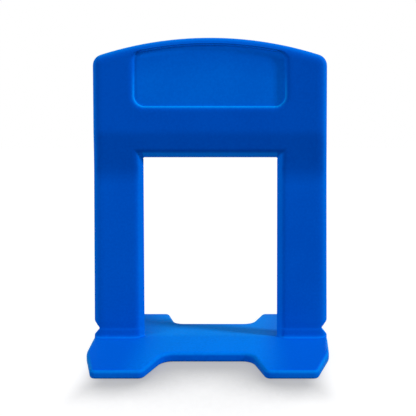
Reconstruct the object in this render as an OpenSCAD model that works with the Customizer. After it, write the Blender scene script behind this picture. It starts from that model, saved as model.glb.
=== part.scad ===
// Tile levelling clip: a moulded blade with a window for a wedge, standing on a split base plate.
// X runs across the blade, Y through its thickness, Z up from the underside of the base.

/* [Blade] */
// Width across the head and the upper legs
blade_w = 40.1; // [38:0.1:46]
// Outward flare of each leg toward its foot
leg_flare = 0.15; // [0:0.05:0.4]
// Overall height above the underside
clip_h = 53.3; // [52:0.1:60]
// Thickness of the legs, which sets the tile joint
joint_w = 1.5; // [1:0.1:2]
// Width of the rounded border along the outer edge
edge_w = 1.8; // [1:0.1:1.8]

/* [Head] */
// Thickness of the head
head_t = 3.2; // [2.6:0.1:4]
// Radius of the arched top
arch_r = 62; // [50:1:80]
// Radius of the top corners
corner_r = 2; // [1.9:0.1:3]
// Height at which the head reaches its full thickness
shoulder_z = 37.1; // [36:0.1:38.5]
// Height of the slope from the legs to the head
slope_h = 6.3; // [4:0.1:8]
// Length of the soft bend at the lower end of the slope
slope_bend = 1.8; // [0.5:0.1:2]
// Length of the soft bend at the upper end of the slope
shoulder_bend = 0.6; // [0.3:0.1:1]

/* [Recess] */
// Width of the recess in each face of the head
recess_w = 25.8; // [16:0.2:30]
// Height of the recess's lower edge
recess_z = 41.5; // [40:0.1:44]
// Width of the rim between the recess and the arched top
rim_w = 1.3; // [1.2:0.1:3]
// Depth of the recess
recess_depth = 0.7; // [0.4:0.05:0.9]
// Radius of the recess's lower corners
recess_low_r = 1.9; // [1:0.1:3]
// Radius of the recess's upper corners
recess_top_r = 1.5; // [1:0.1:3]
// Width of the rounded edge around the recess
recess_edge_w = 0.9; // [0.3:0.1:1.2]
// Share of that width along the recess's upper edge
recess_top_share = 0.2; // [0.1:0.05:1]
// Height of the straight wall between the recess's floor and its rounded edge
recess_wall = 0.1; // [0.05:0.05:0.2]

/* [Window] */
// Width of the wedge window
window_w = 23; // [18:0.2:26]
// Height of the window's upper edge
window_top = 32.8; // [28:0.1:34]
// Width of the bevel along the window's sides
side_bevel = 1.05; // [0.5:0.05:1.5]
// Width of the bevel along the window's upper edge
top_bevel = 1; // [0.5:0.05:1.5]
// Width over which each bevel bends softly into the face of the blade
bevel_bend = 0.6; // [0.2:0.1:0.8]

/* [Break line] */
// Height of the break line
break_z = 3.3; // [3:0.1:4]
// Rise of each notch above the break line
notch_up = 1.15; // [0.8:0.05:1.5]
// Drop of each notch below the break line
notch_down = 1.05; // [0.8:0.05:1.1]
// Depth of the notch in the outer edge of each leg
notch_depth = 0.9; // [0.5:0.05:1.5]
// Depth of the groove in each face of a leg
groove_depth = 0.06; // [0.04:0.02:0.3]
// Swell of each face of a leg below the break line
foot_swell = 0.06; // [0.02:0.01:0.1]

/* [Base] */
// Width of the base plate along the legs
base_w = 40.4; // [39.6:0.1:46]
// Width of the base plate over the bends of its ends
bend_w = 39.4; // [38:0.1:40]
// Depth of the base plate over the pads
base_d = 25.5; // [22:0.5:32]
// Thickness of the plate at its front and rear edges
base_edge_t = 1.35; // [1.2:0.05:1.6]
// Extra thickness of the plate along the legs
base_crown = 0.4; // [0.2:0.05:0.5]
// Distance between the bends of each end
end_flat = 12.6; // [8:0.2:13]
// Width over the tips of a pair of pads
tip_w = 34.2; // [30:0.1:36]
// Depth of the bridge between the legs
bridge_d = 13.5; // [10:0.1:16]
// Gap between the tips of two pads
gap_w = 18.5; // [16:0.1:22]
// Gap between two pads at the bridge
gap_root_w = 14.2; // [10:0.1:15]
// Radius of the bends at the ends of the plate
end_r = 6; // [1:0.5:6]
// Radius of the corners at the tips of the pads
tip_r = 1; // [0.6:0.1:2]
// Radius of the inner corners beside the bridge
root_r = 2.2; // [0.5:0.1:3]
// Radius of the upper edge of the plate
base_top_r = 0.5; // [0.2:0.05:0.55]
// Radius of the lower edge of the plate
base_low_r = 0.35; // [0.1:0.05:0.4]

/* [Hidden] */
edge_steps = 6;
corner_steps = 6;
arch_steps = 12;
fillet_steps = 4;
leg_half = joint_w / 2;
head_half = head_t / 2;
plate_t = base_edge_t + base_crown;
// The blade runs down into the plate as far as this height.
root_z = base_edge_t / 2;
foot_r = max(0.1, break_z - notch_down - plate_t);
slope_z = shoulder_z - slope_h;
slope_rate = (head_half - leg_half) / slope_h;
arch_z = clip_h - arch_r;
// Half width of the flat left along the crown of the plate
crown_half = leg_half / 2;

// Points of an arc in the plane, each with its outward direction.
function arc(centre, radius, from, to, steps) = [
    for (i = [0 : steps])
        let (a = from + (to - from) * i / steps, out = [cos(a), sin(a)])
        [centre + radius * out, out]
];

// Points of the arc that rounds the corner at v, on the way from u to w with the solid on the left.
function bend(u, v, w, radius) =
    let (
        a = (v - u) / norm(v - u),
        b = (w - v) / norm(w - v),
        out_a = [a[1], -a[0]],
        out_b = [b[1], -b[0]],
        turn = atan2(cross(a, b), a * b),
        side = sign(turn),
        centre = v - side * radius * (out_a + out_b) / (1 + out_a * out_b),
        start = atan2(out_a[1], out_a[0])
    )
    [
        for (i = [0 : corner_steps])
            let (t = start + turn * i / corner_steps, out = [cos(t), sin(t)])
            [centre + side * radius * out, out]
    ];

// Points of a soft bend from a to b that leaves a and reaches b in the direction of v.
function soft(a, v, b) = [
    for (i = [0 : fillet_steps])
        let (t = i / fillet_steps)
        a * (1 - t) ^ 2 + 2 * v * t * (1 - t) + b * t ^ 2
];

// Right half of an outline with straight sides and an arched top, from its side's upper end to the middle.
function arched(half_w, radius, corner) =
    let (
        centre = [half_w - corner, arch_z + sqrt((radius - corner) ^ 2 - (half_w - corner) ^ 2)],
        meet = atan2(centre[1] - arch_z, centre[0]),
        last = 90 - (90 - meet) / (2 * arch_steps)
    )
    concat(
        arc(centre, corner, 0, meet, corner_steps),
        [for (e = arc([0, arch_z], radius, meet, last, arch_steps)) if (e[1][1] > sin(meet)) e]
    );

// Half thickness of the blade, as pairs of height and half thickness from the root to the top.
thickness = concat(
    [[root_z, leg_half + foot_swell + foot_r]],
    [
        for (i = [0 : fillet_steps])
            let (a = 90 * i / fillet_steps)
            [plate_t + foot_r * (1 - cos(a)), leg_half + foot_swell + foot_r * (1 - sin(a))]
    ],
    [[break_z - notch_down / 4, leg_half + foot_swell / 2]],
    [[break_z, leg_half - groove_depth]],
    [[break_z + notch_up, leg_half]],
    soft(
        [slope_z - slope_bend, leg_half],
        [slope_z, leg_half],
        [slope_z + slope_bend, leg_half + slope_rate * slope_bend]
    ),
    soft(
        [shoulder_z - shoulder_bend, head_half - slope_rate * shoulder_bend],
        [shoulder_z, head_half],
        [shoulder_z + shoulder_bend, head_half]
    )
);

// Closes a stack of loops into a solid. Each loop is its own mirror image, first point to last.
module skin(loops) {
    n = len(loops[0]);
    top = n * (len(loops) - 1);
    sides = [
        for (i = [0 : len(loops) - 2], j = [0 : n - 1])
            let (a = i * n + j, b = i * n + (j + 1) % n)
            each [[a, b + n, b], [a, a + n, b + n]]
    ];
    caps = [
        for (j = [0 : n / 2 - 2])
            let (k = n - 1 - j)
            each [[j, j + 1, k], [j + 1, k - 1, k], [top + j, top + k, top + j + 1], [top + j + 1, top + k, top + k - 1]]
    ];
    polyhedron([for (loop = loops) each loop], concat(sides, caps));
}

// A loop in the X-Z plane from its right half, moved out along its directions by grow, at depth y.
function upright_loop(half, grow, depths) =
    let (
        right = [
            for (i = [0 : len(half) - 1])
                let (p = half[i][0] + grow * half[i][1])
                [p[0], depths[i], p[1]]
        ]
    )
    concat(right, [for (i = [len(right) - 1 : -1 : 0]) [-right[i][0], right[i][1], right[i][2]]]);

// Head and legs as one plate, with a rounded border and without its openings.
module blade_blank() {
    half = concat(
        [for (p = thickness) [[blade_w / 2 + leg_flare * max(0, 1 - p[0] / slope_z), p[0]], [1, 0]]],
        arched(blade_w / 2, arch_r, corner_r)
    );
    depth = [for (e = half) lookup(e[0][1], thickness)];
    skin([
        for (k = [-edge_steps : edge_steps])
            let (a = 90 * k / edge_steps)
            upright_loop(half, -edge_w * (1 - cos(a)), -sin(a) * depth)
    ]);
}

// The wedge window, narrowest in the middle of the blade and bevelled toward both faces.
module window_cut() {
    half = concat(
        [[[window_w / 2, 0], [1, 0]]],
        [for (p = thickness) if (p[0] < window_top) [[window_w / 2, p[0]], [1, 0]]],
        [[[window_w / 2, window_top], [1, top_bevel / side_bevel]]]
    );
    share = min(0.8, bevel_bend / side_bevel);
    over = soft([side_bevel, 1] * (1 - share), [side_bevel, 1], [side_bevel * (1 + share), 1]);
    lip = over[fillet_steps - 1] + 3 * (over[fillet_steps] - over[fillet_steps - 1]);
    front = concat([for (i = [0 : fillet_steps - 1]) over[i]], [lip]);
    rear = [for (i = [fillet_steps : -1 : 0]) [front[i][0], -front[i][1]]];
    skin([
        for (s = concat(rear, [[0, 0]], front))
            upright_loop(half, s[0], [for (e = half) -s[1] * lookup(e[0][1] + s[0] * e[1][1], thickness)])
    ]);
}

// The recess in the front face, with its edge rounded over.
module recess_cut() {
    side = recess_w / 2;
    half = concat(
        arc([side - recess_low_r, recess_z + recess_low_r], recess_low_r, -90, 0, corner_steps),
        [
            for (e = arched(side, arch_r - rim_w, recess_top_r))
                [e[0], e[1] * (1 - (1 - recess_top_share) * e[1][1])]
        ]
    );
    edge_d = recess_depth - recess_wall;
    over = [
        for (i = [0 : fillet_steps])
            let (a = 90 * i / fillet_steps)
            [recess_edge_w * (1 - cos(a)), edge_d * (sin(a) - 1)]
    ];
    lip = over[fillet_steps - 1] + 3 * (over[fillet_steps] - over[fillet_steps - 1]);
    levels = concat(
        [[0, -recess_depth]],
        [for (i = [0 : fillet_steps - 1]) over[i]],
        [lip, lip + [0, head_t]]
    );
    skin([
        for (s = levels)
            upright_loop(half, s[0], [for (e = half) -head_half - s[1]])
    ]);
}

// The notch in the outer edge of the right leg.
module notch_cut() {
    tip = blade_w / 2 - notch_depth;
    flare = 2;
    rotate([90, 0, 0])
        linear_extrude(head_t, center = true)
            polygon([
                [tip, break_z],
                [tip + flare * notch_depth, break_z - flare * notch_down],
                [tip + flare * notch_depth, break_z + flare * notch_up]
            ]);
}

// The base plate: four pads and a bridge, thickest along the legs, with rounded edges.
module base_plate() {
    corners = [
        [-base_w / 2, -leg_half],
        [-bend_w / 2, -end_flat / 2],
        [-tip_w / 2, -base_d / 2],
        [-gap_w / 2, -base_d / 2],
        [-gap_root_w / 2, -bridge_d / 2],
        [gap_root_w / 2, -bridge_d / 2],
        [gap_w / 2, -base_d / 2],
        [tip_w / 2, -base_d / 2],
        [bend_w / 2, -end_flat / 2],
        [base_w / 2, -leg_half]
    ];
    radii = [0, end_r, tip_r, tip_r, root_r, root_r, tip_r, tip_r, end_r, 0];
    last = len(corners) - 1;
    front = concat(
        [[corners[0], [-1, 0]]],
        [for (i = [1 : last - 1]) each bend(corners[i - 1], corners[i], corners[i + 1], radii[i])],
        [[corners[last], [1, 0]]]
    );
    lower = [
        for (i = [0 : fillet_steps])
            let (a = 90 * i / fillet_steps)
            [base_low_r * (1 - sin(a)), 0, base_low_r * (1 - cos(a))]
    ];
    upper = [
        for (i = [0 : fillet_steps])
            let (a = 90 * i / fillet_steps)
            [base_top_r * (1 - cos(a)), 1, base_top_r * (sin(a) - 1)]
    ];
    skin(concat(
        [for (s = concat(lower, upper)) plate_loop([for (e = front) e[0] - s[0] * e[1]], s[1], s[2])],
        [plate_loop([for (e = front) [e[0][0] - base_top_r * e[1][0], -crown_half]], 1, 0)]
    ));
}

// A loop of the plate from its front half, at rise above the underside or, where top is 1, above its upper face.
function plate_loop(front, top, rise) =
    let (
        points = [
            for (p = front)
                [p[0], p[1], rise + top * (plate_t - base_crown * abs(p[1]) / (base_d / 2))]
        ]
    )
    concat(points, [for (i = [len(points) - 1 : -1 : 0]) [points[i][0], -points[i][1], points[i][2]]]);

module clip() {
    color([0, 0.29, 0.71])
        union() {
            difference() {
                blade_blank();
                window_cut();
                recess_cut();
                rotate([0, 0, 180]) recess_cut();
                notch_cut();
                mirror([1, 0, 0]) notch_cut();
            }
            base_plate();
        }
}

clip();
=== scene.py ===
"""Looks of the tile levelling clip: one blue moulding on a pale floor, seen as in the photograph."""

import math

import bmesh
import bpy
from mathutils import Matrix, Vector


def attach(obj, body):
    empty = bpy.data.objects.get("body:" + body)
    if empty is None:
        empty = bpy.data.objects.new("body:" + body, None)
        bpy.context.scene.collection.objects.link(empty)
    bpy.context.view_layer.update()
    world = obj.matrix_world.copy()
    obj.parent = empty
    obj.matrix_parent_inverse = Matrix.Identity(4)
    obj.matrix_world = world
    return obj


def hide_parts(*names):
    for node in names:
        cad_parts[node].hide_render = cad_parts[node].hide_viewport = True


MM = 0.001
IMAGE_SIDE = 416

# Camera, fitted to the base's corners and the legs' edges in the photograph.
CAMERA_PLACE = Vector((7.18, -89.76, 36.25)) * MM
CAMERA_PITCH = math.radians(1.8)
FOCAL_PX = 521.3
OPTICAL_AXIS_PX = (252.0, 153.9)
SENSOR_MM = 36.0
CLIP_START = 1 * MM

# Moulded skin: a fine grid over the solid, whose edges are softened without drawing the form in.
SKIN_VOXEL = 0.12 * MM
SKIN_SMOOTH_PASSES = 6
SKIN_PUSH_IN = 0.5
SKIN_PUSH_OUT = -0.52
SKIN_KEPT_SHARE = 0.26
# The softened skin stands less than a micron proud, so it is drawn in and lifted to stay in the CAD box.
SKIN_SCALE = 0.99995
SKIN_LIFT = 0.001 * MM
# Corners of the CAD mesh that are closer than this become one.
WELD_DISTANCE = 0.001 * MM

# Plastic: pairs of linear colours, between which the speckle and flow clouds run on each part of the clip.
BLUE_LEGS = ((0.0, 0.057, 0.400, 1.0), (0.0, 0.065, 0.430, 1.0))
# Slope and head: darker blues as painted shade, where the slope faces down and the head gets less light than
# the legs.
BLUE_SLOPE_SHADE = ((0.0, 0.044, 0.322, 1.0), (0.0, 0.050, 0.348, 1.0))
BLUE_HEAD_SHADE = ((0.0, 0.049, 0.352, 1.0), (0.0, 0.055, 0.380, 1.0))
# Painted highlight on the borders, and a painted reflection on the window's top bevel.
BLUE_BORDER_HIGHLIGHT = ((0.0, 0.086, 0.49, 1.0), (0.0, 0.096, 0.52, 1.0))
BLUE_SILL_REFLECTION = ((0.0, 0.156, 0.66, 1.0), (0.0, 0.166, 0.70, 1.0))
BLUE_RECESS = ((0.0, 0.080, 0.465, 1.0), (0.0, 0.090, 0.495, 1.0))
# Painted shade on the recess's floor under its arched edge, then painted light there and on the upper wall.
BLUE_RECESS_SHADE = ((0.0, 0.066, 0.415, 1.0), (0.0, 0.074, 0.445, 1.0))
BLUE_CROWN_LIGHT = ((0.0, 0.094, 0.55, 1.0), (0.0, 0.104, 0.59, 1.0))
BLUE_WALL_LIGHT = ((0.0, 0.190, 0.93, 1.0), (0.0, 0.200, 0.96, 1.0))
# Painted highlight on the recess's lip and on the base's upper edge.
BLUE_LIP_HIGHLIGHT = ((0.0, 0.162, 0.57, 1.0), (0.0, 0.182, 0.605, 1.0))
# Painted highlight along each foot.
BLUE_FOOT_HIGHLIGHT = ((0.0, 0.090, 0.49, 1.0), (0.0, 0.100, 0.52, 1.0))
BLUE_PADS = ((0.0, 0.045, 0.450, 1.0), (0.0, 0.051, 0.480, 1.0))
# Painted bounce light on the pads' sides.
BLUE_PAD_SIDES_BOUNCE = ((0.0, 0.074, 0.42, 1.0), (0.0, 0.082, 0.45, 1.0))
# Painted reflection on the bridge, paler than the pads.
BLUE_BRIDGE_REFLECTION = ((0.0, 0.095, 0.53, 1.0), (0.0, 0.113, 0.60, 1.0))
# Heights over which the colour turns from the legs' to the slope's painted shade, and from that to the
# head's.
SLOPE_SHADE_START = (28.0 * MM, 31.0 * MM)
SLOPE_SHADE_END = (36.4 * MM, 37.6 * MM)
# Blade: half thickness of legs and head, heights where it grows, shares where borders get painted highlight.
LEG_HALF = 0.75 * MM
HEAD_HALF = 1.6 * MM
SLOPE_HEIGHTS = (30.8 * MM, 37.1 * MM)
HIGHLIGHT_DEPTHS = (0.6, 0.97)
# Half width of the window, over which the bevel at its top has a painted reflection, paler than the other
# borders.
WINDOW_HALF_W = 11.5 * MM
# Recess: outline over its lip, centre and radius of its arched edge, radii over which its floor turns darker
# with painted shade and then paler with painted light under that edge, half depths of its floor and of its
# lip.
LIP_HALF_W = 13.9 * MM
LIP_LOW = 40.5 * MM
ARCH_CENTRE = -8.7 * MM
ARCH_RADIUS = 61.0 * MM
RECESS_SHADE_FADE = (55.5 * MM, 59.4 * MM)
CROWN_LIGHT_FADE = (59.4 * MM, 60.5 * MM)
FLOOR_HALF_D = 0.98 * MM
LIP_HIGHLIGHT_DEPTHS = (1.1 * MM, 1.55 * MM)
# Heights over which the lip's painted highlight fades from its palest to the floor's and upper wall's
# colours.
LIP_HIGHLIGHT_END = (41.5 * MM, 47.5 * MM)
# Distances from the middle between which the painted light on the wall under the arched edge fades.
WALL_LIGHT_SIDES = (11.0 * MM, 12.4 * MM)
# Base: height of its upper face along the legs, drop of that face to the front and rear edges, distance of
# those edges from the middle, and so the fall of the face per unit of depth.
BASE_TOP = 1.75 * MM
BASE_DROP = 0.4 * MM
BASE_HALF_D = 12.75 * MM
BASE_FALL = BASE_DROP / BASE_HALF_D
# Depths below the upper face over which its colour fades, and over which its painted edge highlight starts
# and ends.
TOP_FADE = (0.0, 0.16 * MM)
RIM_HIGHLIGHT_START = (0.0, 0.1 * MM)
RIM_HIGHLIGHT_END = (0.2 * MM, 0.55 * MM)
RIM_HIGHLIGHT_SHARE = 0.4
# Height above the upper face that ends its colour, and distances from the middle where the bridge's painted
# reflection fades.
TOP_MARGIN = 0.04 * MM
BRIDGE_REFLECTION_SIDES = (7.0 * MM, 14.0 * MM)
# Heights above the upper face over which the painted highlight along each foot fades.
FOOT_HIGHLIGHT_FADE = (0.1 * MM, 0.3 * MM)
# Finish: scale and detail of each noise, part of its range that a pair of colours spans, roughness and bump
# of the grain, and gloss.
FLOW_NOISE = (90.0, 3.0)
SPECKLE_NOISE = (2600.0, 1.0)
GRAIN_NOISE = (1600.0, 2.0)
COLOUR_SPAN = (0.4, 0.6)
GRAIN_ROUGHNESS = (0.38, 0.52)
BUMP_STRENGTH = 0.12
BUMP_HEIGHT = 0.02 * MM
PLASTIC_IOR = 1.49
SPECULAR_LEVEL = 0.005
SPECULAR_TINT = (0.0, 0.6, 1.0, 1.0)
SHEEN_WEIGHT = 0.28
SHEEN_ROUGHNESS = 0.4
SHEEN_TINT = (0.0, 0.85, 1.0, 1.0)

# Lights. Each lamp has its aim, reach, azimuth from the right toward the front, elevation, side and power.
SKY_STRENGTH = 0.565
SKY_FRONT_GAIN = 0.6
KEY = (Vector((0, 0, 10)) * MM, 900 * MM, math.radians(15.5), math.radians(30), 100 * MM, 9.3)
FILL = (Vector((0, 0, 15)) * MM, 330 * MM, math.radians(146), math.radians(25), 80 * MM, 0.46)
FRONT = (Vector((0, 0, 4)) * MM, 75 * MM, math.radians(90), math.radians(6), 30 * MM, 0.0044)
BACK = (Vector((0, 0, 10)) * MM, 330 * MM, math.radians(285), 0.0, 20 * MM, 0.5)

# Floor: its plain colour, and the parts of diffuse and own light that make it white where it is seen.
FLOOR_SIDE = 3.0
FLOOR_ALBEDO = 0.58
FLOOR_SHADE_ALBEDO = 0.3
FLOOR_GLOW = 0.868
# Contact shade: where it looks, with how many rays and how far, shares of open view from dark to clear,
# power of the rise between them, darkest level.
SHADE_TOWARD = (0.0, 0.98, 0.2)
SHADE_RAYS = 32
SHADE_REACH = 20 * MM
SHADE_OPEN = (0.66, 0.94)
SHADE_POWER = 2.0
SHADE_DARKEST = 0.4
# Distances from the middle between which the shade fades beside the clip.
SHADE_SIDES = (14.5 * MM, 20.0 * MM)

# Places of the share, the two colours and the result among the sockets of a Mix node.
MIX_SHARE = 0
MIX_COLOURS = (6, 7)
MIX_RESULT = 2


def new_nodes(owner):
    """Empties the node tree of a material or world and returns its nodes and links."""
    owner.use_nodes = True
    owner.node_tree.nodes.clear()
    return owner.node_tree.nodes, owner.node_tree.links


def calc(nodes, links, operation, first, second):
    """A maths node fed by sockets or plain numbers; returns its output."""
    node = nodes.new("ShaderNodeMath")
    node.operation = operation
    for slot, value in zip(node.inputs, (first, second)):
        if isinstance(value, (int, float)):
            slot.default_value = value
        else:
            links.new(value, slot)
    return node.outputs["Value"]


def noise(nodes, links, place, kind):
    """Value of a noise texture of some scale and detail in the object's own space."""
    scale, detail = kind
    node = nodes.new("ShaderNodeTexNoise")
    node.inputs["Scale"].default_value = scale
    node.inputs["Detail"].default_value = detail
    links.new(place, node.inputs["Vector"])
    return node.outputs["Fac"]


def ramp(nodes, links, value, colours):
    """A colour that runs between a pair over the middle of a noise value's range."""
    node = nodes.new("ShaderNodeValToRGB")
    for element, position, colour in zip(node.color_ramp.elements, COLOUR_SPAN, colours):
        element.position = position
        element.color = colour
    links.new(value, node.inputs["Fac"])
    return node.outputs["Color"]


def span(nodes, links, value, start, end, kind="LINEAR"):
    """Zero up to start, one from end on."""
    node = nodes.new("ShaderNodeMapRange")
    node.interpolation_type = kind
    node.inputs["From Min"].default_value = start
    node.inputs["From Max"].default_value = end
    links.new(value, node.inputs["Value"])
    return node.outputs["Result"]


def mix(nodes, links, share, first, second):
    """The first colour where the share is zero, the second where it is one."""
    node = nodes.new("ShaderNodeMix")
    node.data_type = "RGBA"
    links.new(share, node.inputs[MIX_SHARE])
    links.new(first, node.inputs[MIX_COLOURS[0]])
    links.new(second, node.inputs[MIX_COLOURS[1]])
    return node.outputs[MIX_RESULT]


def fade(nodes, links, value, start, end):
    """One up to start, zero from end on."""
    return calc(nodes, links, "SUBTRACT", 1.0, span(nodes, links, value, start, end, "SMOOTHSTEP"))


def both(nodes, links, *shares):
    """Product of several shares."""
    product = shares[0]
    for share in shares[1:]:
        product = calc(nodes, links, "MULTIPLY", product, share)
    return product


def arch_distance(nodes, links, across, height):
    """Distance from the centre of the head's arch."""
    rise = calc(nodes, links, "SUBTRACT", height, ARCH_CENTRE)
    squares = calc(nodes, links, "ADD", both(nodes, links, across, across), both(nodes, links, rise, rise))
    return calc(nodes, links, "POWER", squares, 0.5)


def in_recess(nodes, links, across, height, distance):
    """One within the outline of the recess's lip, zero elsewhere."""
    under_arch = calc(nodes, links, "LESS_THAN", distance, ARCH_RADIUS)
    between = calc(nodes, links, "LESS_THAN", across, LIP_HALF_W)
    above = calc(nodes, links, "GREATER_THAN", height, LIP_LOW)
    return both(nodes, links, under_arch, between, above)


def plain_blade(nodes, links, clouds, height):
    """Legs, with the slope and head in painted shade, without their borders."""
    legs = ramp(nodes, links, clouds, BLUE_LEGS)
    slope_shade = ramp(nodes, links, clouds, BLUE_SLOPE_SHADE)
    head_shade = ramp(nodes, links, clouds, BLUE_HEAD_SHADE)
    lower = mix(nodes, links, span(nodes, links, height, SLOPE_SHADE_START[0], SLOPE_SHADE_START[1]), legs, slope_shade)
    return mix(nodes, links, span(nodes, links, height, SLOPE_SHADE_END[0], SLOPE_SHADE_END[1]), lower, head_shade)


def highlight_border_share(nodes, links, depth, height):
    """Zero on the blade's faces, one deep in its rounded border and bevels, where the painted highlight
    goes.
    """
    half = nodes.new("ShaderNodeMapRange")
    half.inputs["From Min"].default_value = SLOPE_HEIGHTS[0]
    half.inputs["From Max"].default_value = SLOPE_HEIGHTS[1]
    half.inputs["To Min"].default_value = LEG_HALF
    half.inputs["To Max"].default_value = HEAD_HALF
    links.new(height, half.inputs["Value"])
    share = calc(nodes, links, "DIVIDE", depth, half.outputs["Result"])
    return fade(nodes, links, share, HIGHLIGHT_DEPTHS[0], HIGHLIGHT_DEPTHS[1])


def border_highlight_colour(nodes, links, clouds, across, height):
    """Painted highlight on the border, palest as a painted reflection on the bevel at the top of the window.
    """
    over_window = calc(nodes, links, "LESS_THAN", across, WINDOW_HALF_W)
    below_recess = calc(nodes, links, "LESS_THAN", height, LIP_LOW)
    on_sill_reflection = both(nodes, links, over_window, below_recess)
    highlit_border = ramp(nodes, links, clouds, BLUE_BORDER_HIGHLIGHT)
    return mix(nodes, links, on_sill_reflection, highlit_border, ramp(nodes, links, clouds, BLUE_SILL_REFLECTION))


def recess_colour(nodes, links, clouds, across, depth, height, distance, plain):
    """Floor of the recess, darker upward with painted shade and paler under its arched edge with painted
    light, with a painted highlight on its lip and painted light on the wall under that edge.
    """
    upward_shade = span(nodes, links, distance, RECESS_SHADE_FADE[0], RECESS_SHADE_FADE[1])
    low = ramp(nodes, links, clouds, BLUE_RECESS)
    level = mix(nodes, links, upward_shade, low, ramp(nodes, links, clouds, BLUE_RECESS_SHADE))
    arch_light_share = span(nodes, links, distance, CROWN_LIGHT_FADE[0], CROWN_LIGHT_FADE[1])
    sunk = mix(nodes, links, arch_light_share, level, ramp(nodes, links, clouds, BLUE_CROWN_LIGHT))

    on_wall = both(nodes, links, arch_light_share, fade(nodes, links, across, WALL_LIGHT_SIDES[0], WALL_LIGHT_SIDES[1]))
    upper = mix(nodes, links, on_wall, level, ramp(nodes, links, clouds, BLUE_WALL_LIGHT))
    rise = span(nodes, links, height, LIP_HIGHLIGHT_END[0], LIP_HIGHLIGHT_END[1])
    lip_highlight = mix(nodes, links, rise, ramp(nodes, links, clouds, BLUE_LIP_HIGHLIGHT), upper)
    lip = mix(nodes, links, fade(nodes, links, depth, LIP_HIGHLIGHT_DEPTHS[0], LIP_HIGHLIGHT_DEPTHS[1]), plain, lip_highlight)
    on_floor = calc(nodes, links, "LESS_THAN", depth, FLOOR_HALF_D)
    return mix(nodes, links, on_floor, lip, sunk)


def blade_colour(nodes, links, clouds, across, depth, height):
    """Legs and head with painted highlight on their borders, and the recess with its painted shade, light
    and highlight.
    """
    plain = plain_blade(nodes, links, clouds, height)
    highlit_border = border_highlight_colour(nodes, links, clouds, across, height)
    highlit_blade = mix(nodes, links, highlight_border_share(nodes, links, depth, height), plain, highlit_border)
    distance = arch_distance(nodes, links, across, height)
    recess = recess_colour(nodes, links, clouds, across, depth, height, distance, plain)
    return mix(nodes, links, in_recess(nodes, links, across, height, distance), highlit_blade, recess)


def foot_highlight_colour(nodes, links, clouds, height, top, blade):
    """The blade's colour with a painted highlight along each foot, just above the base."""
    above = calc(nodes, links, "SUBTRACT", height, top)
    clear = calc(nodes, links, "GREATER_THAN", above, TOP_MARGIN)
    foot_highlight_share = both(nodes, links, clear, fade(nodes, links, above, FOOT_HIGHLIGHT_FADE[0], FOOT_HIGHLIGHT_FADE[1]))
    return mix(nodes, links, foot_highlight_share, blade, ramp(nodes, links, clouds, BLUE_FOOT_HIGHLIGHT))


def base_colour(nodes, links, clouds, across, depth, height, blade):
    """The blade's colour above the base, and on the base that of its pads, with painted bounce light on
    their sides, a painted reflection on the paler bridge and a painted highlight on the edge.
    """
    fall = calc(nodes, links, "MULTIPLY", depth, BASE_FALL)
    top = calc(nodes, links, "SUBTRACT", BASE_TOP, fall)
    below = calc(nodes, links, "SUBTRACT", top, height)
    on_base = calc(nodes, links, "GREATER_THAN", below, -TOP_MARGIN)

    bridge_reflection_share = fade(nodes, links, across, BRIDGE_REFLECTION_SIDES[0], BRIDGE_REFLECTION_SIDES[1])
    on_pads = both(nodes, links, on_base, calc(nodes, links, "SUBTRACT", 1.0, bridge_reflection_share))
    foot_highlit = foot_highlight_colour(nodes, links, clouds, height, top, blade)
    bounce_lit_sides = mix(nodes, links, on_pads, foot_highlit, ramp(nodes, links, clouds, BLUE_PAD_SIDES_BOUNCE))

    pads = ramp(nodes, links, clouds, BLUE_PADS)
    face = mix(nodes, links, bridge_reflection_share, pads, ramp(nodes, links, clouds, BLUE_BRIDGE_REFLECTION))
    on_top = both(nodes, links, on_base, fade(nodes, links, below, TOP_FADE[0], TOP_FADE[1]))
    topped = mix(nodes, links, on_top, bounce_lit_sides, face)

    start = span(nodes, links, below, RIM_HIGHLIGHT_START[0], RIM_HIGHLIGHT_START[1])
    on_rim = both(nodes, links, start, fade(nodes, links, below, RIM_HIGHLIGHT_END[0], RIM_HIGHLIGHT_END[1]), on_base)
    rim_highlight_share = calc(nodes, links, "MULTIPLY", on_rim, RIM_HIGHLIGHT_SHARE)
    return mix(nodes, links, rim_highlight_share, topped, ramp(nodes, links, clouds, BLUE_LIP_HIGHLIGHT))


def moulded_grain(nodes, links, place, shader):
    """Fine grain that varies the roughness and the surface a little."""
    grain = noise(nodes, links, place, GRAIN_NOISE)
    gloss = nodes.new("ShaderNodeMapRange")
    gloss.inputs["To Min"].default_value = GRAIN_ROUGHNESS[0]
    gloss.inputs["To Max"].default_value = GRAIN_ROUGHNESS[1]
    links.new(grain, gloss.inputs["Value"])
    links.new(gloss.outputs["Result"], shader.inputs["Roughness"])
    bump = nodes.new("ShaderNodeBump")
    bump.inputs["Strength"].default_value = BUMP_STRENGTH
    bump.inputs["Distance"].default_value = BUMP_HEIGHT
    links.new(grain, bump.inputs["Height"])
    links.new(bump.outputs["Normal"], shader.inputs["Normal"])


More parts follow.
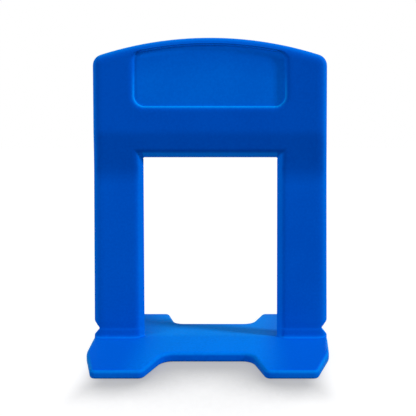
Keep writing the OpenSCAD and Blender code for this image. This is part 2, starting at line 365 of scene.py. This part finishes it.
def blue_plastic():
    """Satin blue polypropylene with fine moulded grain, faint flow clouds, and painted highlights,
    reflections, light and shade.
    """
    material = bpy.data.materials.new("blue_plastic")
    nodes, links = new_nodes(material)
    out = nodes.new("ShaderNodeOutputMaterial")
    shader = nodes.new("ShaderNodeBsdfPrincipled")
    links.new(shader.outputs["BSDF"], out.inputs["Surface"])
    place = nodes.new("ShaderNodeTexCoord").outputs["Object"]

    split = nodes.new("ShaderNodeSeparateXYZ")
    links.new(place, split.inputs["Vector"])
    across = calc(nodes, links, "ABSOLUTE", split.outputs["X"], 0.0)
    depth = calc(nodes, links, "ABSOLUTE", split.outputs["Y"], 0.0)
    height = split.outputs["Z"]
    flow = noise(nodes, links, place, FLOW_NOISE)
    speckle = noise(nodes, links, place, SPECKLE_NOISE)
    clouds = calc(nodes, links, "MULTIPLY", calc(nodes, links, "ADD", flow, speckle), 0.5)
    blade = blade_colour(nodes, links, clouds, across, depth, height)
    colour = base_colour(nodes, links, clouds, across, depth, height, blade)
    links.new(colour, shader.inputs["Base Color"])
    moulded_grain(nodes, links, place, shader)

    shader.inputs["IOR"].default_value = PLASTIC_IOR
    shader.inputs["Specular IOR Level"].default_value = SPECULAR_LEVEL
    shader.inputs["Specular Tint"].default_value = SPECULAR_TINT
    shader.inputs["Sheen Weight"].default_value = SHEEN_WEIGHT
    shader.inputs["Sheen Roughness"].default_value = SHEEN_ROUGHNESS
    shader.inputs["Sheen Tint"].default_value = SHEEN_TINT
    return material


def sight(nodes, links):
    """One for the rays that show a surface directly, in a gloss or through glass."""
    path = nodes.new("ShaderNodeLightPath")
    seen = calc(nodes, links, "MAXIMUM", path.outputs["Is Camera Ray"], path.outputs["Is Glossy Ray"])
    return calc(nodes, links, "MAXIMUM", seen, path.outputs["Is Transmission Ray"])


def contact_shade(nodes, links):
    """Level of the floor's own light: full in the open, lower close to the clip and most in front of it."""
    toward = nodes.new("ShaderNodeCombineXYZ")
    for slot, value in zip(toward.inputs, SHADE_TOWARD):
        slot.default_value = value
    closeness = nodes.new("ShaderNodeAmbientOcclusion")
    closeness.samples = SHADE_RAYS
    closeness.inputs["Distance"].default_value = SHADE_REACH
    links.new(toward.outputs["Vector"], closeness.inputs["Normal"])
    share = span(nodes, links, closeness.outputs["AO"], SHADE_OPEN[0], SHADE_OPEN[1])
    openness = calc(nodes, links, "POWER", share, SHADE_POWER)
    split = nodes.new("ShaderNodeSeparateXYZ")
    links.new(nodes.new("ShaderNodeTexCoord").outputs["Object"], split.inputs["Vector"])
    across = calc(nodes, links, "ABSOLUTE", split.outputs["X"], 0.0)
    beside = span(nodes, links, across, SHADE_SIDES[0], SHADE_SIDES[1], "SMOOTHSTEP")
    lit = calc(nodes, links, "MAXIMUM", openness, beside)
    lift = calc(nodes, links, "MULTIPLY", lit, FLOOR_GLOW * (1 - SHADE_DARKEST))
    return calc(nodes, links, "ADD", lift, FLOOR_GLOW * SHADE_DARKEST)


def floor_material():
    """Pale floor that is seen as white, darkened where the object shades it."""
    material = bpy.data.materials.new("pale_floor")
    nodes, links = new_nodes(material)
    out = nodes.new("ShaderNodeOutputMaterial")
    plain = nodes.new("ShaderNodeBsdfDiffuse")
    plain.inputs["Color"].default_value = (FLOOR_ALBEDO, FLOOR_ALBEDO, FLOOR_ALBEDO, 1.0)
    shaded = nodes.new("ShaderNodeBsdfDiffuse")
    shaded.inputs["Color"].default_value = (FLOOR_SHADE_ALBEDO, FLOOR_SHADE_ALBEDO, FLOOR_SHADE_ALBEDO, 1.0)
    glow = nodes.new("ShaderNodeEmission")
    links.new(contact_shade(nodes, links), glow.inputs["Strength"])
    white = nodes.new("ShaderNodeAddShader")
    links.new(shaded.outputs["BSDF"], white.inputs[0])
    links.new(glow.outputs["Emission"], white.inputs[1])
    pick = nodes.new("ShaderNodeMixShader")
    links.new(sight(nodes, links), pick.inputs["Fac"])
    links.new(plain.outputs["BSDF"], pick.inputs[1])
    links.new(white.outputs["Shader"], pick.inputs[2])
    links.new(pick.outputs["Shader"], out.inputs["Surface"])
    return material


def make_world():
    """Sky light, stronger from the front, seen as plain white directly and in a gloss."""
    world = bpy.data.worlds.new("studio")
    bpy.context.scene.world = world
    nodes, links = new_nodes(world)
    out = nodes.new("ShaderNodeOutputWorld")
    back = nodes.new("ShaderNodeBackground")
    back.inputs["Color"].default_value = (1.0, 1.0, 1.0, 1.0)
    split = nodes.new("ShaderNodeSeparateXYZ")
    links.new(nodes.new("ShaderNodeTexCoord").outputs["Generated"], split.inputs["Vector"])
    front_gain = calc(nodes, links, "MULTIPLY", split.outputs["Y"], -SKY_STRENGTH * SKY_FRONT_GAIN)
    level = nodes.new("ShaderNodeMapRange")
    links.new(calc(nodes, links, "ADD", front_gain, SKY_STRENGTH), level.inputs["To Min"])
    level.inputs["To Max"].default_value = 1.0
    links.new(sight(nodes, links), level.inputs["Value"])
    links.new(level.outputs["Result"], back.inputs["Strength"])
    links.new(back.outputs["Background"], out.inputs["Surface"])


def make_floor():
    """A wide plane under the clip."""
    half = FLOOR_SIDE / 2
    mesh = bpy.data.meshes.new("floor")
    corners = [(-half, -half, 0), (half, -half, 0), (half, half, 0), (-half, half, 0)]
    mesh.from_pydata(corners, [], [(0, 1, 2, 3)])
    mesh.materials.append(floor_material())
    floor = bpy.data.objects.new("floor", mesh)
    bpy.context.scene.collection.objects.link(floor)


def make_lamp(name, values, receivers):
    """A square lamp that lights the clip alone, so the floor keeps a soft shadow."""
    aim, reach, azimuth, elevation, side, watts = values
    lamp = bpy.data.lights.new(name, "AREA")
    lamp.size = side
    lamp.energy = watts
    toward = Vector((
        math.cos(elevation) * math.cos(azimuth),
        -math.cos(elevation) * math.sin(azimuth),
        math.sin(elevation),
    ))
    holder = bpy.data.objects.new(name, lamp)
    holder.location = aim + reach * toward
    holder.rotation_euler = toward.to_track_quat("Z", "Y").to_euler()
    bpy.context.scene.collection.objects.link(holder)
    holder.light_linking.receiver_collection = receivers


def make_lamps(lit):
    """A narrow key high on the right, a fill on the left, and low lamps in front and behind."""
    receivers = bpy.data.collections.new("lit_by_lamps")
    receivers.objects.link(lit)
    make_lamp("key", KEY, receivers)
    make_lamp("fill", FILL, receivers)
    make_lamp("front", FRONT, receivers)
    make_lamp("back", BACK, receivers)


def make_camera():
    """A camera with its lens shifted, so that upright edges stay nearly parallel as in the photograph."""
    data = bpy.data.cameras.new("camera")
    data.sensor_width = SENSOR_MM
    data.lens = SENSOR_MM * FOCAL_PX / IMAGE_SIDE
    data.shift_x = 0.5 - OPTICAL_AXIS_PX[0] / IMAGE_SIDE
    data.shift_y = OPTICAL_AXIS_PX[1] / IMAGE_SIDE - 0.5
    data.clip_start = CLIP_START
    camera = bpy.data.objects.new("camera", data)
    camera.location = CAMERA_PLACE
    camera.rotation_euler = (math.pi / 2 - CAMERA_PITCH, 0, 0)
    bpy.context.scene.collection.objects.link(camera)
    bpy.context.scene.camera = camera


def welded_copy(node):
    """A copy of a CAD node in which corners that coincide are joined."""
    welded = bmesh.new()
    welded.from_mesh(node.data)
    bmesh.ops.remove_doubles(welded, verts=welded.verts, dist=WELD_DISTANCE)
    mesh = bpy.data.meshes.new("clip_body")
    welded.to_mesh(mesh)
    welded.free()
    body = bpy.data.objects.new("clip_body", mesh)
    bpy.context.scene.collection.objects.link(body)
    return body


def add_softening(body):
    """Modifiers that lay a fine grid over the solid, soften its edges and thin the grid out."""
    grid = body.modifiers.new("grid", "REMESH")
    grid.mode = "VOXEL"
    grid.voxel_size = SKIN_VOXEL
    for _ in range(SKIN_SMOOTH_PASSES):
        for factor in (SKIN_PUSH_IN, SKIN_PUSH_OUT):
            soft = body.modifiers.new("soft", "SMOOTH")
            soft.factor = factor
            soft.iterations = 1
    thin = body.modifiers.new("thin", "DECIMATE")
    thin.ratio = SKIN_KEPT_SHARE
    bpy.context.view_layer.update()


def moulded_body(node):
    """A finer copy of the CAD solid whose edges are softened as a mould softens them."""
    body = welded_copy(node)
    add_softening(body)
    skin = bpy.data.meshes.new_from_object(body.evaluated_get(bpy.context.evaluated_depsgraph_get()))
    body.modifiers.clear()
    body.data = skin
    skin.name = "clip_body"
    skin.materials.clear()
    skin.transform(Matrix.Translation((0, 0, SKIN_LIFT)) @ Matrix.Scale(SKIN_SCALE, 4))
    skin.shade_smooth()
    return body


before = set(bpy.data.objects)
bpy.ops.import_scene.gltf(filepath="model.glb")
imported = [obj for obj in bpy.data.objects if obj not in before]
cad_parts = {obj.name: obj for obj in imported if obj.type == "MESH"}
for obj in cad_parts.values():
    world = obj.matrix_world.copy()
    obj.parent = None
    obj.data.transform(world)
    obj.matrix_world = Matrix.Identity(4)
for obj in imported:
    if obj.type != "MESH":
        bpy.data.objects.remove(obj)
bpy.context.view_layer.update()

bpy.context.scene.view_settings.view_transform = "Standard"
make_camera()
make_world()
make_floor()

clip = moulded_body(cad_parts["clip"])
clip.data.materials.append(blue_plastic())
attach(clip, "root")
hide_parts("clip")
make_lamps(clip)
